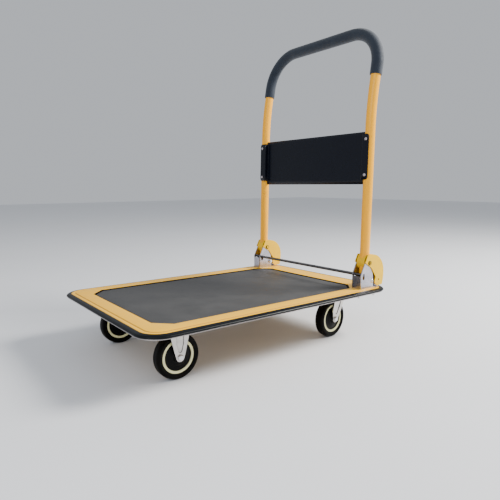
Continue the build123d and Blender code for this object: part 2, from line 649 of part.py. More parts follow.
def main():
    save(make_deck_pan(), "deck_pan")
    save(make_mat(), "deck_mat")
    save(make_bumper(), "edge_bumper")
    save(make_trim(), "bumper_trim")
    save(Compound(children=[bracket_bolt(x, y) for x, y in bracket_bolt_spots()]), "bracket_bolts")
    save(Compound(children=[bracket_nut(x, y) for x, y in bracket_bolt_spots()]), "bracket_nuts")
    save(make_handle_tube(), "handle_tube")
    save(make_grip(), "handle_grip")
    save(make_panel(), "back_panel")
    screws = [make_panel_screw(side, run) for side in SIDES.values() for run in SCREW_RUNS]
    save(Compound(children=screws), "panel_screws")
    save(make_release_bar(), "release_bar")

    for maker, label in ((make_tie_bolt, "tie_bolts"), (make_tie_nut, "tie_nuts")):
        shape = maker()
        save(Compound(children=[mirrored(shape), shape]), label)

    studs = []
    nuts = []
    plate_low = CASTER_SEAT - PLATE_THICK
    for x in (FRONT_AXLE_X, SWIVEL_X):
        for side in SIDES.values():
            for dx, dy in plate_spots():
                spot = (x + dx, side * CASTER_Y + dy)
                studs.append(cyl(STUD_R, plate_low - NUT_HEIGHT - 2.5, CASTER_SEAT, *spot))
                nut = hex_prism(NUT_ACROSS, plate_low - NUT_HEIGHT, plate_low, *spot)
                nuts.append(nut - cyl(STUD_R + 0.03, 100, 140, *spot))
    save(Compound(children=studs), "caster_studs")
    save(Compound(children=nuts), "caster_nuts")

    for name, side in SIDES.items():
        save(make_stiffener(side), "deck_stiffener_" + name)
        for maker, label in ((make_bracket, "hinge_bracket_"), (make_pivot_pin, "pivot_pin_"),
                             (make_cam, "hinge_cam_")):
            shape = maker()
            save(shape if side > 0 else mirrored(shape), label + name)
        save(make_release_spring(side), "release_spring_" + name)

        fixed = Pos(FRONT_AXLE_X, side * CASTER_Y, 0)
        save(fixed * make_rigid_fork(), "fixed_fork_" + name)
        save(fixed * make_axle(side), "axle_front_" + name)

        swivel = swivel_place(side)
        wheel = swivel * Pos(-SWIVEL_OFFSET, 0, 0)
        save(Pos(SWIVEL_X, side * CASTER_Y, 0) * make_swivel_plate(), "swivel_plate_" + name)
        save(Pos(SWIVEL_X, side * CASTER_Y, 0) * make_kingpin(), "kingpin_" + name)
        save(swivel * make_swivel_fork(), "swivel_fork_" + name)
        save(swivel * make_swivel_balls(), "swivel_balls_" + name)
        save(wheel * make_axle(side), "axle_rear_" + name)
        save(wheel * make_axle_nut(side), "axle_nut_rear_" + name)

        for end, place in ((FRONT, fixed), (REAR, wheel)):
            label = end + "_" + name
            save(place * make_tyre(), "tyre_" + label)
            save(place * make_core(), "wheel_core_" + label)
            save(place * make_hub_cover(), "hub_cover_" + label)
            save(place * make_bush(), "axle_bush_" + label)

    front_nuts = [Pos(FRONT_AXLE_X, side * CASTER_Y, 0) * make_axle_nut(side) for side in SIDES.values()]
    save(Compound(children=front_nuts), "axle_nuts_front")


main()
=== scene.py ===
import math

import bmesh
import bpy
from mathutils import Matrix, Vector, noise


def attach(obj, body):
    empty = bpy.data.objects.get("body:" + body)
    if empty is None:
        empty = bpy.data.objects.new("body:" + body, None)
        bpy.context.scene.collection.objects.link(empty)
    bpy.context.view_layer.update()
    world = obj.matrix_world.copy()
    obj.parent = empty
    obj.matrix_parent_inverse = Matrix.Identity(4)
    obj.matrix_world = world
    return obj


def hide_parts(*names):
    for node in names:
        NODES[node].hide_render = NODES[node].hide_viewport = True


# Looks of a folding platform cart, in metres and in the CAD frame:
# +X towards the handle, -Y the left side, +Z up.
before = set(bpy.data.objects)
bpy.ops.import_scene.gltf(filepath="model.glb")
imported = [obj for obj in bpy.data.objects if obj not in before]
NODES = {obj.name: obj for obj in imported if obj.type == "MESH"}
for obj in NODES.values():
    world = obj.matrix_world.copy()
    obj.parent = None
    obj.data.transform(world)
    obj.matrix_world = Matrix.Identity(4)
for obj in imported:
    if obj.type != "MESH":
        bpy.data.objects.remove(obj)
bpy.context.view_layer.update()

SIDES = {"left": -1, "right": 1}

DECK_LENGTH = 0.702
DECK_WIDTH = 0.482
DECK_CORNER = 0.045
DECK_CORNER_STEPS = 14
DECK_TOP = 0.134
TRIM_LOW = 0.1238
TRIM_HIGH = 0.1258
BUMPER_TOP = 0.1324
BUMPER_LOW = 0.1259

MAT_X = -0.010
MAT_HALF_X = 0.293
MAT_HALF_Y = 0.193
MAT_CUT_X = 0.032
MAT_CUT_Y = 0.033
# A 45-degree cut corner grows by this share of the outline's own growth.
MAT_CUT_GROWTH = 0.41
RECESS_Z = 0.131
MAT_TOP = 0.1322

TUBE_R = 0.0127
TUBE_Y = 0.210
TUBE_X = 0.28916
LEAN_LOW = math.radians(1.3626)
LEAN_HIGH = math.radians(9.6846)
LEAN_STRAIGHT = 0.412
LEAN_ARC_R = 0.8115
TOP_RUN = 0.674
TOP_BEND_R = 0.0965
FOOT_Z = 0.156
# Length between the rings of the tube's mesh, and of the grip's below.
TUBE_STEP = 0.010

GRIP_R = 0.0157
GRIP_RUN = 0.5503
GRIP_STEP = 0.004
GRIP_END_SHARE = 0.12
GRIP_END_GAP = 0.0004
GRIP_END_ROUND = 0.0006
GRIP_INSET = 0.0001
GRIP_LUMP = 0.00012
GRIP_LUMPS_PER_METRE = 45.0

PANEL_LOW = 0.273
PANEL_HIGH = 0.408
PANEL_SHEET = 0.0016
PANEL_BEND_R = 0.0026
PANEL_BEND_STEPS = 6
PANEL_ROWS = 8
PANEL_FRONT = -TUBE_R - 0.00085
PANEL_STEP_Y = TUBE_Y - TUBE_R - 0.0011
TAB_MID = 0.343
TAB_HALF = 0.058
TAB_END_Y = 0.2175
TAB_CORNER_R = 0.007
TAB_CORNER_STEPS = 6

PIVOT_X = 0.29078
PIVOT_Z = 0.202
# Radius of the dark ring of painted shade for the groove round the pivot pin's head.
PIN_GROOVE_SHADE_R = 0.0036

CASTER_Y = 0.150
FRONT_X = -0.245
SWIVEL_X = 0.2475
SWIVEL_OFFSET = 0.024
SWIVEL_TURN = math.radians(6.2)
AXLE_Z = 0.050
SEAT_Z = 0.129

WELD_REACH = 0.00002
SOFT_STEPS = 2
SOFT_ANGLE = 35
SOFT_EDGES = {"hinge_cam_": 0.0007, "hinge_bracket_": 0.0005, "fixed_fork_": 0.0005,
              "swivel_fork_": 0.0005, "swivel_plate_": 0.0004, "pivot_pin_": 0.0004}

SKY_COLOR = (0.86, 0.90, 0.96, 1.0)
SKY_STRENGTH = 0.62
FLOOR_CORNERS = [(-6, -6, 0), (10, -6, 0), (10, 10, 0), (-6, 10, 0)]
FLOOR_TONES = ((0.74, 0.75, 0.77), (0.78, 0.79, 0.81))
FLOOR_ROUGH = 0.7

CAMERA_PLACE = (-0.7136, -1.0119, 0.4075)
CAMERA_YAW = math.radians(-37.74)
CAMERA_PITCH = math.radians(7.84)
CAMERA_ROLL = math.radians(-0.16)
FOCAL_PX = 476.24
PICTURE_PX = 500
SENSOR_MM = 36.0


# ---------------------------------------------------------------- mesh helpers
def finish_mesh(name, bm, smooth_deg=None):
    bmesh.ops.recalc_face_normals(bm, faces=bm.faces[:])
    mesh = bpy.data.meshes.new(name)
    bm.to_mesh(mesh)
    bm.free()
    obj = bpy.data.objects.new(name, mesh)
    bpy.context.scene.collection.objects.link(obj)
    if smooth_deg is not None:
        mesh.polygons.foreach_set("use_smooth", [True] * len(mesh.polygons))
        mesh.set_sharp_from_angle(angle=math.radians(smooth_deg))
    return obj


def ring_of(bm, points):
    return [bm.verts.new(p) for p in points]


def bridge(bm, first, second, slot=0):
    for i in range(len(first)):
        j = (i + 1) % len(first)
        bm.faces.new((first[i], first[j], second[j], second[i])).material_index = slot


def fill(bm, loops, slot=0):
    """Flat fill between closed loops of vertices: the first is the outside, the others are holes."""
    edges = []
    for loop in loops:
        for i, v in enumerate(loop):
            w = loop[(i + 1) % len(loop)]
            edges.append(bm.edges.get((v, w)) or bm.edges.new((v, w)))
    made = bmesh.ops.triangle_fill(bm, use_beauty=True, edges=edges)
    for part in made["geom"]:
        if isinstance(part, bmesh.types.BMFace):
            part.material_index = slot


def rounded(points, radius, steps):
    """Polygon with its corners rounded."""
    out = []
    for i, p in enumerate(points):
        here = Vector(p)
        back = Vector(points[i - 1]) - here
        ahead = Vector(points[(i + 1) % len(points)]) - here
        half = back.angle(ahead) / 2
        cut = min(radius / math.tan(half), 0.49 * back.length, 0.49 * ahead.length)
        start = here + back.normalized() * cut
        end = here + ahead.normalized() * cut
        for k in range(steps + 1):
            t = k / steps
            out.append(tuple(start * (1 - t) ** 2 + here * 2 * t * (1 - t) + end * t ** 2))
    return out


def lathe(name, profile, place, steps):
    """Revolve a profile of (radius, along) about local Y; place is a matrix."""
    bm = bmesh.new()
    rings = []
    for i in range(steps):
        a = 2 * math.pi * i / steps
        turned = [Vector((r * math.cos(a), y, r * math.sin(a))) for r, y in profile]
        rings.append(ring_of(bm, [place @ point for point in turned]))
    count = len(profile)
    for i in range(steps):
        first, second = rings[i], rings[(i + 1) % steps]
        for k in range(count):
            m = (k + 1) % count
            bm.faces.new((first[k], first[m], second[m], second[k]))
    bmesh.ops.remove_doubles(bm, verts=bm.verts[:], dist=1e-7)
    return finish_mesh(name, bm, 40)


def tube(name, centres, radius, segments=32, smooth_deg=40):
    """Round bar along centres; radius is a function of the point's index. Ends are closed."""
    bm = bmesh.new()
    rings = []
    side = Vector((0, 1, 0))
    for i, c in enumerate(centres):
        tangent = (centres[min(i + 1, len(centres) - 1)] - centres[max(i - 1, 0)]).normalized()
        side = (side - tangent * side.dot(tangent)).normalized()
        up = tangent.cross(side)
        r = radius(i)
        rings.append(ring_of(bm, [c + r * (side * math.cos(a) + up * math.sin(a))
                                  for a in (2 * math.pi * k / segments for k in range(segments))]))
    for first, second in zip(rings, rings[1:]):
        bridge(bm, first, second)
    bm.faces.new(rings[0])
    bm.faces.new(rings[-1])
    return finish_mesh(name, bm, smooth_deg)


# ---------------------------------------------------------------- outlines
def deck_loop(inset, z):
    """Rounded rectangle of the deck, moved inwards."""
    half_x = DECK_LENGTH / 2 - inset
    half_y = DECK_WIDTH / 2 - inset
    radius = DECK_CORNER - inset
    points = []
    for sx, sy, start in ((1, 1, 0), (-1, 1, 90), (-1, -1, 180), (1, -1, 270)):
        cx = sx * (half_x - radius)
        cy = sy * (half_y - radius)
        for k in range(DECK_CORNER_STEPS + 1):
            a = math.radians(start + 90 * k / DECK_CORNER_STEPS)
            points.append((cx + radius * math.cos(a), cy + radius * math.sin(a), z))
    return points


def mat_loop(grow, z, corner_radius=0.002):
    """Cut-cornered rectangle of the mat recess, moved outwards."""
    hx = MAT_HALF_X + grow
    hy = MAT_HALF_Y + grow
    cx = MAT_CUT_X + MAT_CUT_GROWTH * grow
    cy = MAT_CUT_Y + MAT_CUT_GROWTH * grow
    corner = [(hx, hy - cy), (hx - cx, hy)]
    points = corner + [(-x, y) for x, y in reversed(corner)]
    points += [(-x, -y) for x, y in points]
    return [(x + MAT_X, y, z) for x, y in rounded(points, corner_radius, 3)]


def spine(run):
    """(x, z) of the leg's middle line, run metres up from deck level: straight, curved, straight."""
    low, high = LEAN_LOW, LEAN_HIGH
    arc = LEAN_ARC_R * (high - low)
    x = TUBE_X + min(run, LEAN_STRAIGHT) * math.sin(low)
    z = DECK_TOP + min(run, LEAN_STRAIGHT) * math.cos(low)
    if run > LEAN_STRAIGHT:
        lean = low + min(run - LEAN_STRAIGHT, arc) / LEAN_ARC_R
        x += LEAN_ARC_R * (math.cos(low) - math.cos(lean))
        z += LEAN_ARC_R * (math.sin(lean) - math.sin(low))
    if run > LEAN_STRAIGHT + arc:
        x += (run - LEAN_STRAIGHT - arc) * math.sin(high)
        z += (run - LEAN_STRAIGHT - arc) * math.cos(high)
    return x, z


def handle_points(first_run, step):
    """Middle line of the hoop, from first_run up one leg, across the top and down the other."""
    bend_start = TOP_RUN - TOP_BEND_R
    one = []
    count = max(2, round((bend_start - first_run) / step))
    for i in range(count):
        x, z = spine(first_run + (bend_start - first_run) * i / count)
        one.append(Vector((x, -TUBE_Y, z)))
    bends = max(8, round(TOP_BEND_R * math.pi / 2 / step))
    for i in range(bends + 1):
        a = math.pi / 2 * i / bends
        x, z = spine(bend_start + TOP_BEND_R * math.sin(a))
        one.append(Vector((x, -(TUBE_Y - TOP_BEND_R * (1 - math.cos(a))), z)))
    half = TUBE_Y - TOP_BEND_R
    x, z = spine(TOP_RUN)
    middle_count = max(1, round(half * 2 / step))
    middle = [Vector((x, -half + 2 * half * i / middle_count, z)) for i in range(1, middle_count)]
    return one + middle + [Vector((p.x, -p.y, p.z)) for p in reversed(one)]


def leaning(x, y, run):
    """Point in the handle's own axes: x across the straight leg, run along it from deck level."""
    return Vector((TUBE_X + x * math.cos(LEAN_LOW) + run * math.sin(LEAN_LOW), y,
                   DECK_TOP - x * math.sin(LEAN_LOW) + run * math.cos(LEAN_LOW)))


# ---------------------------------------------------------------- materials
def shader(name):
    mat = bpy.data.materials.new(name)
    mat.use_nodes = True
    nodes = mat.node_tree.nodes
    return mat, nodes, mat.node_tree.links, nodes["Principled BSDF"]


def noise_node(nodes, links, coords, scale, detail=4.0, rough=0.55, stretch=None):
    tex = nodes.new("ShaderNodeTexNoise")
    tex.inputs["Scale"].default_value = scale
    tex.inputs["Detail"].default_value = detail
    tex.inputs["Roughness"].default_value = rough
    source = coords
    if stretch is not None:
        mapping = nodes.new("ShaderNodeMapping")
        mapping.inputs["Scale"].default_value = stretch
        links.new(coords, mapping.inputs["Vector"])
        source = mapping.outputs["Vector"]
    links.new(source, tex.inputs["Vector"])
    return tex.outputs["Fac"]


def remap(nodes, links, value, low, high, in_low=0.3, in_high=0.7):
    node = nodes.new("ShaderNodeMapRange")
    node.inputs["From Min"].default_value = in_low
    node.inputs["From Max"].default_value = in_high
    node.inputs["To Min"].default_value = low
    node.inputs["To Max"].default_value = high
    links.new(value, node.inputs["Value"])
    return node.outputs["Result"]


def mix_color(nodes, links, fac, first, second):
    node = nodes.new("ShaderNodeMix")
    node.data_type = "RGBA"
    links.new(fac, node.inputs["Factor"])
    for socket, value in ((node.inputs["A"], first), (node.inputs["B"], second)):
        if isinstance(value, tuple):
            socket.default_value = (*value, 1.0)
        else:
            links.new(value, socket)
    return node.outputs["Result"]


def bump(nodes, links, height, strength, distance, normal=None):
    node = nodes.new("ShaderNodeBump")
    node.inputs["Strength"].default_value = strength
    node.inputs["Distance"].default_value = distance
    links.new(height, node.inputs["Height"])
    if normal is not None:
        links.new(normal, node.inputs["Normal"])
    return node.outputs["Normal"]


def coordinates(nodes):
    return nodes.new("ShaderNodeTexCoord").outputs["Object"]


def corner_painted_shade(nodes, links, tone, shade_color, reach):
    """Painted shade: darkens a colour in the piece's own tight corners, where shade falls."""
    corners = nodes.new("ShaderNodeAmbientOcclusion")
    corners.only_local = True
    corners.samples = 8
    corners.inputs["Distance"].default_value = reach
    depth = remap(nodes, links, corners.outputs["AO"], 1.0, 0.0, 0.55, 0.98)
    return mix_color(nodes, links, depth, tone, shade_color)


def ring_mask(nodes, links, coords, x, z, inner):
    """1 outside a circle about an axis along Y, 0 inside it."""
    flat = nodes.new("ShaderNodeVectorMath")
    flat.operation = "MULTIPLY"
    flat.inputs[1].default_value = (1, 0, 1)
    links.new(coords, flat.inputs[0])
    far = nodes.new("ShaderNodeVectorMath")
    far.operation = "DISTANCE"
    far.inputs[1].default_value = (x, 0, z)
    links.new(flat.outputs["Vector"], far.inputs[0])
    return remap(nodes, links, far.outputs["Value"], 0.0, 1.0, inner - 0.0004, inner + 0.0002)


def paint(name, base, dull, rough, coat=0.05):
    """Sprayed enamel: faint orange peel, soft patches of tone, fine dust."""
    mat, nodes, links, bsdf = shader(name)
    coords = coordinates(nodes)
    patches = remap(nodes, links, noise_node(nodes, links, coords, 9.0), 0.0, 0.35)
    tone = mix_color(nodes, links, patches, base, dull)
    specks = remap(nodes, links, noise_node(nodes, links, coords, 900.0, 2.0), 0.0, 0.25, 0.62, 0.75)
    links.new(mix_color(nodes, links, specks, tone, dull), bsdf.inputs["Base Color"])
    links.new(remap(nodes, links, noise_node(nodes, links, coords, 60.0), rough - 0.05, rough + 0.07),
              bsdf.inputs["Roughness"])
    peel = noise_node(nodes, links, coords, 420.0, 3.0)
    links.new(bump(nodes, links, peel, 0.10, 0.0004), bsdf.inputs["Normal"])
    bsdf.inputs["Coat Weight"].default_value = coat
    bsdf.inputs["Coat Roughness"].default_value = 0.25
    return mat


def zinc(name, base, dark, rough, stretch=(1.0, 1.0, 6.0)):
    """Plated steel: brushed streaks, cloudy passivation, faint scratches, and painted shade in its own
    tight corners.
    """
    mat, nodes, links, bsdf = shader(name)
    coords = coordinates(nodes)
    clouds = remap(nodes, links, noise_node(nodes, links, coords, 38.0, 5.0), 0.0, 0.6)
    plated = mix_color(nodes, links, clouds, base, dark)
    # Painted shade colour for the tight corners: the dark tone, much darker.
    shade_color = tuple(0.22 * part for part in dark)
    links.new(corner_painted_shade(nodes, links, plated, shade_color, 0.006), bsdf.inputs["Base Color"])
    streaks = noise_node(nodes, links, coords, 260.0, 4.0, 0.6, stretch)
    links.new(remap(nodes, links, streaks, rough - 0.08, rough + 0.12), bsdf.inputs["Roughness"])
    links.new(bump(nodes, links, streaks, 0.12, 0.0003), bsdf.inputs["Normal"])
    bsdf.inputs["Metallic"].default_value = 1.0
    return mat


def rubber(name, base, pale, rough):
    """Matt rubber: fine pitted skin with a little dust in it."""
    mat, nodes, links, bsdf = shader(name)
    coords = coordinates(nodes)
    dust = remap(nodes, links, noise_node(nodes, links, coords, 22.0, 5.0), 0.0, 0.8, 0.4, 0.8)
    links.new(mix_color(nodes, links, dust, base, pale), bsdf.inputs["Base Color"])
    skin = noise_node(nodes, links, coords, 320.0, 4.0, 0.6)
    links.new(remap(nodes, links, skin, rough - 0.06, rough + 0.06), bsdf.inputs["Roughness"])
    links.new(bump(nodes, links, skin, 0.25, 0.0005), bsdf.inputs["Normal"])
    return mat


def plastic(name, base, second, rough, subsurface=0.0, groove_shade=None):
    """Moulded plastic: very fine spark texture, slight flow marks, painted shade in its own tight corners;
    groove (x, z, radius) darkens a rim as painted shade of a groove.
    """
    mat, nodes, links, bsdf = shader(name)
    coords = coordinates(nodes)
    flow = remap(nodes, links, noise_node(nodes, links, coords, 26.0, 3.0), 0.0, 0.5)
    tone = mix_color(nodes, links, flow, base, second)
    # Painted shade colour for the tight corners.
    shade_color = tuple(0.30 * part for part in second)
    tone = corner_painted_shade(nodes, links, tone, shade_color, 0.004)
    # Painted shade: a near-black ring where a groove round the pin head would lie in shade.
    if groove_shade is not None:
        rim = ring_mask(nodes, links, coords, *groove_shade)
        tone = mix_color(nodes, links, rim, tone, (0.020, 0.016, 0.006))
    links.new(tone, bsdf.inputs["Base Color"])
    spark = noise_node(nodes, links, coords, 700.0, 3.0)
    links.new(remap(nodes, links, spark, rough - 0.05, rough + 0.05), bsdf.inputs["Roughness"])
    links.new(bump(nodes, links, spark, 0.10, 0.0003), bsdf.inputs["Normal"])
    bsdf.inputs["Subsurface Weight"].default_value = subsurface
    bsdf.inputs["Subsurface Radius"].default_value = (0.002, 0.002, 0.001)
    return mat


def foam(name, base, pale):
    """Closed-cell foam sleeve: small pores and soft handling marks."""
    mat, nodes, links, bsdf = shader(name)
    coords = coordinates(nodes)
    cells = nodes.new("ShaderNodeTexVoronoi")
    cells.inputs["Scale"].default_value = 900.0
    links.new(coords, cells.inputs["Vector"])
    marks = remap(nodes, links, noise_node(nodes, links, coords, 30.0, 5.0), 0.0, 0.7)
    links.new(mix_color(nodes, links, marks, base, pale), bsdf.inputs["Base Color"])
    pores = bump(nodes, links, cells.outputs["Distance"], 0.35, 0.0004)
    soft = noise_node(nodes, links, coords, 90.0, 3.0)
    links.new(bump(nodes, links, soft, 0.12, 0.0008, pores), bsdf.inputs["Normal"])
    links.new(remap(nodes, links, soft, 0.62, 0.78), bsdf.inputs["Roughness"])
    bsdf.inputs["Sheen Weight"].default_value = 0.25
    bsdf.inputs["Sheen Roughness"].default_value = 0.5
    return mat


def mat_rubber(name, base, pale, pitch):
    """Ribbed rubber deck mat: small raised pips in rows, dusty between."""
    mat, nodes, links, bsdf = shader(name)
    coords = coordinates(nodes)
    split = nodes.new("ShaderNodeSeparateXYZ")
    links.new(coords, split.inputs["Vector"])

    def wave(axis, scale):
        turn = nodes.new("ShaderNodeMath")
        turn.operation = "MULTIPLY"
        turn.inputs[1].default_value = 2 * math.pi / scale
        links.new(split.outputs[axis], turn.inputs[0])
        sine = nodes.new("ShaderNodeMath")
        sine.operation = "SINE"
        links.new(turn.outputs[0], sine.inputs[0])
        return sine.outputs[0]

    pips = nodes.new("ShaderNodeMath")
    pips.operation = "MULTIPLY"
    links.new(wave("X", pitch), pips.inputs[0])
    links.new(wave("Y", pitch), pips.inputs[1])
    raised = remap(nodes, links, pips.outputs[0], 0.0, 1.0, -0.2, 0.8)
    dust = remap(nodes, links, noise_node(nodes, links, coords, 14.0, 6.0, 0.65), 0.0, 0.6, 0.35, 0.75)
    worn = mix_color(nodes, links, dust, base, pale)
    tops = nodes.new("ShaderNodeMath")
    tops.operation = "MULTIPLY"
    tops.inputs[1].default_value = 0.35
    links.new(raised, tops.inputs[0])
    links.new(mix_color(nodes, links, tops.outputs[0], worn, pale), bsdf.inputs["Base Color"])
    grain = bump(nodes, links, noise_node(nodes, links, coords, 600.0, 3.0), 0.2, 0.0003)
    links.new(bump(nodes, links, raised, 0.35, 0.0006, grain), bsdf.inputs["Normal"])
    links.new(remap(nodes, links, dust, 0.55, 0.72, 0.0, 0.6), bsdf.inputs["Roughness"])
    return mat


MATERIALS = {
    "deck": paint("deck_paint", (1.00, 0.53, 0.006), (0.92, 0.46, 0.006), 0.36),
    # Darker copy of the deck paint on the border's crease: painted shade.
    "crease": paint("deck_paint_crease_shade", (0.62, 0.29, 0.004), (0.50, 0.23, 0.004), 0.50, 0.0),
    # Darker, duller copy of the deck paint for the underside and stiffeners: painted shade.
    "under": paint("deck_paint_under_shade", (0.46, 0.30, 0.12), (0.36, 0.26, 0.14), 0.60, 0.0),
    "tube": paint("tube_paint", (1.00, 0.45, 0.004), (0.92, 0.39, 0.004), 0.30),
    "panel": paint("panel_paint", (0.0014, 0.0026, 0.0075), (0.0030, 0.0050, 0.0120), 0.30, 0.0),
    "cam": plastic("cam_plastic", (0.90, 0.54, 0.001), (0.80, 0.46, 0.001), 0.40),
    # Pin caps: cam plastic with a ring of painted shade for the groove round the head.
    "pin": plastic("pin_cap", (0.90, 0.54, 0.001), (0.80, 0.46, 0.001), 0.40,
                   groove_shade=(PIVOT_X, PIVOT_Z, PIN_GROOVE_SHADE_R)),
    "zinc": zinc("zinc_plate", (0.52, 0.50, 0.55), (0.24, 0.24, 0.26), 0.24),
    "fork": zinc("fork_zinc", (0.66, 0.63, 0.60), (0.36, 0.34, 0.32), 0.22),
    "fastener": zinc("fastener_zinc", (0.80, 0.79, 0.80), (0.58, 0.58, 0.60), 0.20),
    "screw": zinc("screw_zinc", (0.62, 0.56, 0.57), (0.44, 0.40, 0.41), 0.36),
    "bar": zinc("bar_steel", (0.17, 0.165, 0.17), (0.09, 0.09, 0.09), 0.30, stretch=(6.0, 1.0, 6.0)),
    "trim": zinc("trim_aluminium", (0.52, 0.48, 0.47), (0.40, 0.37, 0.36), 0.30),
    "mat": mat_rubber("mat_rubber", (0.044, 0.044, 0.044), (0.088, 0.087, 0.086), 0.0046),
    # Near-black painted shade for the gap round the mat and the recess floor under it.
    "gap_shade": rubber("gap_shade_dark", (0.010, 0.005, 0.002), (0.016, 0.009, 0.004), 0.60),
    "bumper": rubber("bumper_rubber", (0.0030, 0.0040, 0.0052), (0.0080, 0.0095, 0.0110), 0.34),
    "tyre": rubber("tyre_rubber", (0.0014, 0.0010, 0.0006), (0.0040, 0.0030, 0.0020), 0.50),
    "core": plastic("core_nylon", (0.98, 0.94, 0.52), (0.92, 0.86, 0.46), 0.34, 0.05),
    "hub": plastic("hub_black", (0.0008, 0.0006, 0.0006), (0.0018, 0.0016, 0.0016), 0.30),
    "bush": plastic("bush_nylon", (0.62, 0.60, 0.54), (0.54, 0.52, 0.46), 0.45),
    "grip": foam("grip_foam", (0.009, 0.015, 0.026), (0.014, 0.023, 0.038)),
}
SHEEN = {"panel": 0.24, "tyre": 0.08, "hub": 0.10, "grip": 0.26, "mat": 0.24, "bumper": 0.14, "gap_shade": 0.06,
         "deck": 0.30, "tube": 0.30, "cam": 0.22, "pin": 0.22}
for key, level in SHEEN.items():
    MATERIALS[key].node_tree.nodes["Principled BSDF"].inputs["Specular IOR Level"].default_value = level


def dress(obj, key):
    obj.data.materials.clear()
    obj.data.materials.append(MATERIALS[key])


def piece(obj, body, key, slot, *nodes):
    """Shown piece on its body; a piece with several materials brings them itself, and its key is None."""
    if key:
        dress(obj, key)
    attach(obj, body)
    if nodes:
        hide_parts(*nodes)
    return obj


# ---------------------------------------------------------------- deck
# Slots of the deck's mesh: paint, then painted shade for the gap round the mat, for the underside and for
# the crease.
DECK_MATERIALS = ("deck", "gap_shade", "under", "crease")
PAINTED, GAP_SHADED, UNDER_SHADED, CREASE_SHADED = range(len(DECK_MATERIALS))
CREASE_RINGS = (1, 2, 3)
RECESS_WALL = [(0.0, 0.1322), (0.0003, 0.1330), (0.0009, 0.1336), (0.0017, 0.1339), (0.0026, DECK_TOP)]
BORDER = [(0.0150, DECK_TOP), (0.0142, 0.1338), (0.0134, 0.1331), (0.0126, 0.1326), (0.0116, 0.1326),
          (0.0106, 0.1331), (0.0096, 0.1335), (0.0080, 0.1336), (0.0058, 0.1334), (0.0032, 0.1328),
          (0.0014, 0.1322), (0.0005, 0.1314), (0.0, 0.1303), (0.0, TRIM_HIGH), (0.002, TRIM_HIGH),
          (0.002, 0.1302), (0.0045, 0.1313)]
RECESS_UNDERSIDE = [(0.0025, 0.132), (0.002, 0.1312), (0.002, 0.1292), (0.0012, SEAT_Z)]
MAT_EDGE = [(-0.0022, RECESS_Z), (-0.0022, MAT_TOP - 0.0006), (-0.0024, MAT_TOP - 0.0002),
            (-0.0030, MAT_TOP)]


def make_deck():
    """Pan of the deck: recess, border with its crease, rolled edge and underside, with painted shade on the
    recess, the crease and the underside.
    """
    bm = bmesh.new()
    floor = ring_of(bm, mat_loop(0.0, RECESS_Z))
    fill(bm, [floor], GAP_SHADED)
    wall = [floor] + [ring_of(bm, mat_loop(grow, z)) for grow, z in RECESS_WALL]
    for first, second in zip(wall, wall[1:]):
        bridge(bm, first, second, GAP_SHADED)
    border = [ring_of(bm, deck_loop(inset, z)) for inset, z in BORDER]
    fill(bm, [border[0], wall[-1]], PAINTED)
    for i, (first, second) in enumerate(zip(border, border[1:])):
        bridge(bm, first, second, CREASE_SHADED if i in CREASE_RINGS else PAINTED)
    under = [ring_of(bm, mat_loop(grow, z)) for grow, z in RECESS_UNDERSIDE]
    fill(bm, [border[-1], under[0]], UNDER_SHADED)
    for first, second in zip(under, under[1:]):
        bridge(bm, first, second, UNDER_SHADED)
    fill(bm, [under[-1]], UNDER_SHADED)
    obj = finish_mesh("deck_shell", bm, 38)
    for key in DECK_MATERIALS:
        obj.data.materials.append(MATERIALS[key])
    return obj


def make_mat():
    """Rubber mat with a small rounded edge, just inside the recess."""
    bm = bmesh.new()
    rings = [ring_of(bm, mat_loop(grow, z, 0.003)) for grow, z in MAT_EDGE]
    for first, second in zip(rings, rings[1:]):
        bridge(bm, first, second)
    fill(bm, [rings[0]])
    fill(bm, [rings[-1]])
    return finish_mesh("deck_mat_rubber", bm, 30)


def swept_edge(name, profile):
    """Closed (outwards, z) profile carried round the deck's outline."""
    bm = bmesh.new()
    rings = [ring_of(bm, deck_loop(-out, z)) for out, z in profile]
    for i, ring in enumerate(rings):
        bridge(bm, ring, rings[(i + 1) % len(rings)])
    return finish_mesh(name, bm, 50)


BUMPER = [(-0.0030, 0.1326), (-0.0028, 0.1332), (-0.0022, 0.1334), (0.0, 0.1330), (0.0024, BUMPER_TOP),
          (0.0046, 0.1320), (0.0068, 0.1310), (0.0083, 0.1297), (0.0089, 0.1284), (0.0087, 0.1272),
          (0.0077, 0.1263), (0.0062, BUMPER_LOW), (0.0001, BUMPER_LOW), (0.0001, 0.1300)]
TRIM = [(-0.006, TRIM_LOW), (0.0062, TRIM_LOW), (0.0068, 0.1241), (0.0070, 0.1248), (0.0068, 0.1255),
        (0.0062, TRIM_HIGH), (-0.006, TRIM_HIGH)]

piece(make_deck(), "platform", None, "deck_paint", "deck_pan")
piece(make_mat(), "platform", "mat", "mat", "deck_mat")
piece(swept_edge("bumper_strip", BUMPER), "platform", "bumper", "bumper", "edge_bumper")
piece(swept_edge("trim_strip", TRIM), "platform", "trim", "trim", "bumper_trim")


# ---------------------------------------------------------------- handle
def make_handle_tube():
    path = handle_points((FOOT_Z - DECK_TOP) / math.cos(LEAN_LOW), TUBE_STEP)
    return tube("handle_tube_painted", path, lambda i: TUBE_R)


def make_grip():
    """Foam sleeve: rounded ends that close on the tube, faint lumps along its length."""
    path = handle_points(GRIP_RUN, GRIP_STEP)
    ahead = path[0].lerp(path[1], GRIP_END_SHARE)
    behind = path[-1].lerp(path[-2], GRIP_END_SHARE)
    path = [path[0], ahead] + path[1:-1] + [behind, path[-1]]

    def radius(i):
        from_end = min(i, len(path) - 1 - i)
        if from_end == 0:
            return TUBE_R + GRIP_END_GAP
        if from_end == 1:
            return GRIP_R - GRIP_END_ROUND
        return GRIP_R - GRIP_INSET + GRIP_LUMP * noise.noise(path[i] * GRIP_LUMPS_PER_METRE)

    return tube("grip_foam_sleeve", path, radius, segments=40, smooth_deg=60)


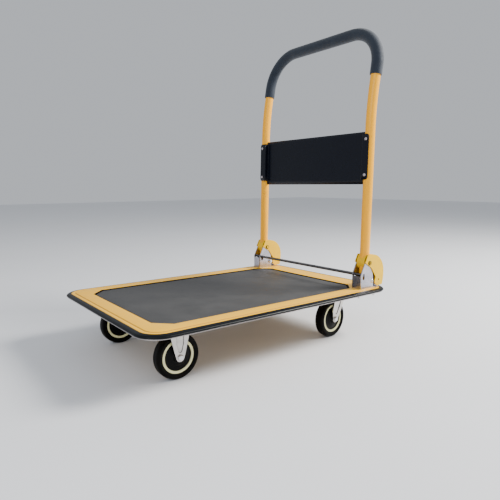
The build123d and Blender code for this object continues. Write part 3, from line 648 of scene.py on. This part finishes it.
def panel_section():
    """Half of the panel's section as (across the leg, y): middle, two bends, flat tab to its end."""
    line = [Vector(p) for p in ((0.0, 0.0), (0.0, 0.1), (0.0, PANEL_STEP_Y), (PANEL_FRONT, PANEL_STEP_Y),
                                (PANEL_FRONT, TAB_END_Y))]
    section = line[:2]
    for before, here, after in zip(line[1:], line[2:4], line[3:]):
        back = (before - here).normalized() * PANEL_BEND_R
        ahead = (after - here).normalized() * PANEL_BEND_R
        for k in range(PANEL_BEND_STEPS + 1):
            t = k / PANEL_BEND_STEPS
            section.append(here + back * (1 - t) ** 2 + ahead * t ** 2)
    for k in range(1, TAB_CORNER_STEPS + 1):
        turn = math.pi / 2 * k / TAB_CORNER_STEPS - math.pi / 12
        section.append(Vector((PANEL_FRONT, TAB_END_Y - TAB_CORNER_R + TAB_CORNER_R * math.sin(turn))))
    return section + line[4:]


def make_panel():
    """One bent sheet: recessed middle, stepped forward beside each leg, lapped over the leg's front."""
    half = panel_section()
    full = [(p.x, -p.y) for p in reversed(half)] + [(p.x, p.y) for p in half[1:]]
    bm = bmesh.new()
    columns = []
    for across, y in full:
        past_corner = max(0.0, abs(y) - (TAB_END_Y - TAB_CORNER_R)) / TAB_CORNER_R
        drop = TAB_CORNER_R * (1 - math.sqrt(max(0.0, 1 - past_corner * past_corner)))
        bottom = TAB_MID - TAB_HALF + drop
        top = TAB_MID + TAB_HALF - drop
        middle = [bottom + (top - bottom) * k / PANEL_ROWS for k in range(PANEL_ROWS + 1)]
        runs = [PANEL_LOW] + middle + [PANEL_HIGH]
        skipped = (0, PANEL_ROWS + 2) if across < PANEL_FRONT * 0.25 else ()
        columns.append([None if k in skipped else bm.verts.new(leaning(across, y, run))
                        for k, run in enumerate(runs)])
    for first, second in zip(columns, columns[1:]):
        for k in range(PANEL_ROWS + 2):
            corners = (first[k], first[k + 1], second[k + 1], second[k])
            if None not in corners:
                bm.faces.new(corners)
    obj = finish_mesh("back_panel_sheet", bm, 40)
    solid = obj.modifiers.new("sheet", "SOLIDIFY")
    solid.thickness = PANEL_SHEET
    solid.offset = 0.0
    return obj


piece(make_handle_tube(), "handle", "tube", "tube_paint", "handle_tube")
grip = piece(make_grip(), "handle", "grip", "foam", "handle_grip")
piece(make_panel(), "handle", "panel", "panel_paint", "back_panel")


# ---------------------------------------------------------------- wheels
def wheel_places():
    places = {}
    for name, side in SIDES.items():
        places["front_" + name] = Matrix.Translation((FRONT_X, side * CASTER_Y, AXLE_Z))
        kingpin = Matrix.Translation((SWIVEL_X, side * CASTER_Y, AXLE_Z))
        turned = kingpin @ Matrix.Rotation(SWIVEL_TURN, 4, "Z")
        places["rear_" + name] = turned @ Matrix.Translation((-SWIVEL_OFFSET, 0, 0))
    return places


def both_faces(half):
    """Profile of one face of a wheel, mirrored for the other."""
    return half + [(r, -y) for r, y in reversed(half)]


TYRE = both_faces([(0.0372, 0.0098), (0.0378, 0.0105), (0.0392, 0.0114), (0.0412, 0.0124), (0.0436, 0.0129),
                   (0.0452, 0.0128), (0.0456, 0.0124), (0.0460, 0.0127), (0.0474, 0.0120), (0.0486, 0.0105),
                   (0.0494, 0.0087), (0.0499, 0.0066), (0.0500, 0.0040), (0.0500, 0.0015)])
CORE = both_faces([(0.0061, 0.0052), (0.0317, 0.0052), (0.0317, 0.0095), (0.0322, 0.0101),
                   (0.0334, 0.01035), (0.0354, 0.01035), (0.0366, 0.0101), (0.0372, 0.0095)])
COVER = [(0.0061, 0.0053), (0.0315, 0.0053), (0.0315, 0.0080), (0.0309, 0.0088), (0.0295, 0.0091),
         (0.0280, 0.0084), (0.0262, 0.0084), (0.0250, 0.0090), (0.0205, 0.0096), (0.0192, 0.0102),
         (0.0180, 0.0116), (0.0150, 0.0121), (0.0134, 0.0122), (0.0128, 0.0130), (0.0124, 0.0150),
         (0.0116, 0.0157), (0.0061, 0.0157)]
COVER_MIRRORED = [(r, -y) for r, y in COVER]

for label, place in wheel_places().items():
    body = "wheel_" + label
    tyre = lathe("tyre_tread_" + label, TYRE, place, 96)
    core = lathe("core_ring_" + label, CORE, place, 96)
    outer = lathe("cover_outer_" + label, COVER, place, 72)
    inner = lathe("cover_inner_" + label, COVER_MIRRORED, place, 72)
    piece(tyre, body, "tyre", "tyre", "tyre_" + label)
    piece(core, body, "core", "core", "wheel_core_" + label)
    piece(outer, body, "hub", "hub_black", "hub_cover_" + label)
    piece(inner, body, "hub", "hub_black")


# ---------------------------------------------------------------- carried-over CAD pieces
DRESS = {
    "zinc": ("hinge_bracket_",),
    "fork": ("fixed_fork_", "swivel_fork_", "swivel_plate_"),
    "fastener": ("kingpin_", "axle_front_", "axle_rear_", "axle_nut_rear_"),
    "bar": ("swivel_balls_", "release_spring_"),
    "cam": ("hinge_cam_",),
    "pin": ("pivot_pin_",),
    # Stiffeners get the underside's painted shade.
    "under": ("deck_stiffener_",),
}
for key, starts in DRESS.items():
    for name in SIDES:
        for start in starts:
            dress(NODES[start + name], key)
for node in ("bracket_bolts", "bracket_nuts", "caster_studs", "caster_nuts", "axle_nuts_front", "tie_bolts",
             "tie_nuts"):
    dress(NODES[node], "fastener")
dress(NODES["panel_screws"], "screw")
dress(NODES["release_bar"], "bar")
for name in SIDES:
    for end in ("front", "rear"):
        dress(NODES[f"axle_bush_{end}_{name}"], "bush")


def soften(node, width):
    """Round a CAD node's sharp edges a little, on its modifiers only."""
    weld = node.modifiers.new("weld", "WELD")
    weld.merge_threshold = WELD_REACH
    bevel = node.modifiers.new("soft_edges", "BEVEL")
    bevel.width = width
    bevel.segments = SOFT_STEPS
    bevel.limit_method = "ANGLE"
    bevel.angle_limit = math.radians(SOFT_ANGLE)
    bevel.harden_normals = True


for name in SIDES:
    for start, width in SOFT_EDGES.items():
        soften(NODES[start + name], width)


# ---------------------------------------------------------------- stage
def make_floor():
    bm = bmesh.new()
    bm.faces.new(ring_of(bm, FLOOR_CORNERS))
    obj = finish_mesh("floor", bm)
    mat, nodes, links, bsdf = shader("floor_grey")
    coords = coordinates(nodes)
    patches = noise_node(nodes, links, coords, 3.0)
    tone = mix_color(nodes, links, patches, *FLOOR_TONES)
    links.new(tone, bsdf.inputs["Base Color"])
    bsdf.inputs["Roughness"].default_value = FLOOR_ROUGH
    obj.data.materials.append(mat)


make_floor()
world = bpy.data.worlds.new("studio")
bpy.context.scene.world = world
world.use_nodes = True
world.node_tree.nodes["Background"].inputs["Color"].default_value = SKY_COLOR
world.node_tree.nodes["Background"].inputs["Strength"].default_value = SKY_STRENGTH


def area_light(name, place, target, size, power, color):
    light = bpy.data.lights.new(name, "AREA")
    light.size = size
    light.energy = power
    light.color = color
    obj = bpy.data.objects.new(name, light)
    bpy.context.scene.collection.objects.link(obj)
    obj.location = place
    obj.rotation_mode = "QUATERNION"
    obj.rotation_quaternion = (Vector(target) - Vector(place)).to_track_quat("-Z", "Y")


area_light("key", (2.1, -1.5, 2.2), (0.1, 0.0, 0.2), 1.1, 205, (1.0, 0.98, 0.95))
area_light("fill", (-2.2, -1.2, 2.0), (0.0, 0.0, 0.3), 2.2, 42, (0.92, 0.95, 1.0))


def make_camera():
    """Camera at the photograph's viewing angle."""
    yaw, pitch, roll = CAMERA_YAW, CAMERA_PITCH, CAMERA_ROLL
    right = Vector((math.cos(yaw), math.sin(yaw), 0))
    ahead = Vector((-math.sin(yaw) * math.cos(pitch), math.cos(yaw) * math.cos(pitch), -math.sin(pitch)))
    up = right.cross(ahead)
    turned_right = right * math.cos(roll) + up * math.sin(roll)
    turned_up = up * math.cos(roll) - right * math.sin(roll)
    data = bpy.data.cameras.new("camera")
    data.sensor_width = SENSOR_MM
    data.lens = FOCAL_PX / PICTURE_PX * SENSOR_MM
    data.clip_start = 0.01
    data.clip_end = 100
    obj = bpy.data.objects.new("camera", data)
    bpy.context.scene.collection.objects.link(obj)
    obj.matrix_world = Matrix((
        (turned_right.x, turned_up.x, -ahead.x, CAMERA_PLACE[0]),
        (turned_right.y, turned_up.y, -ahead.y, CAMERA_PLACE[1]),
        (turned_right.z, turned_up.z, -ahead.z, CAMERA_PLACE[2]),
        (0, 0, 0, 1)))
    bpy.context.scene.camera = obj


make_camera()
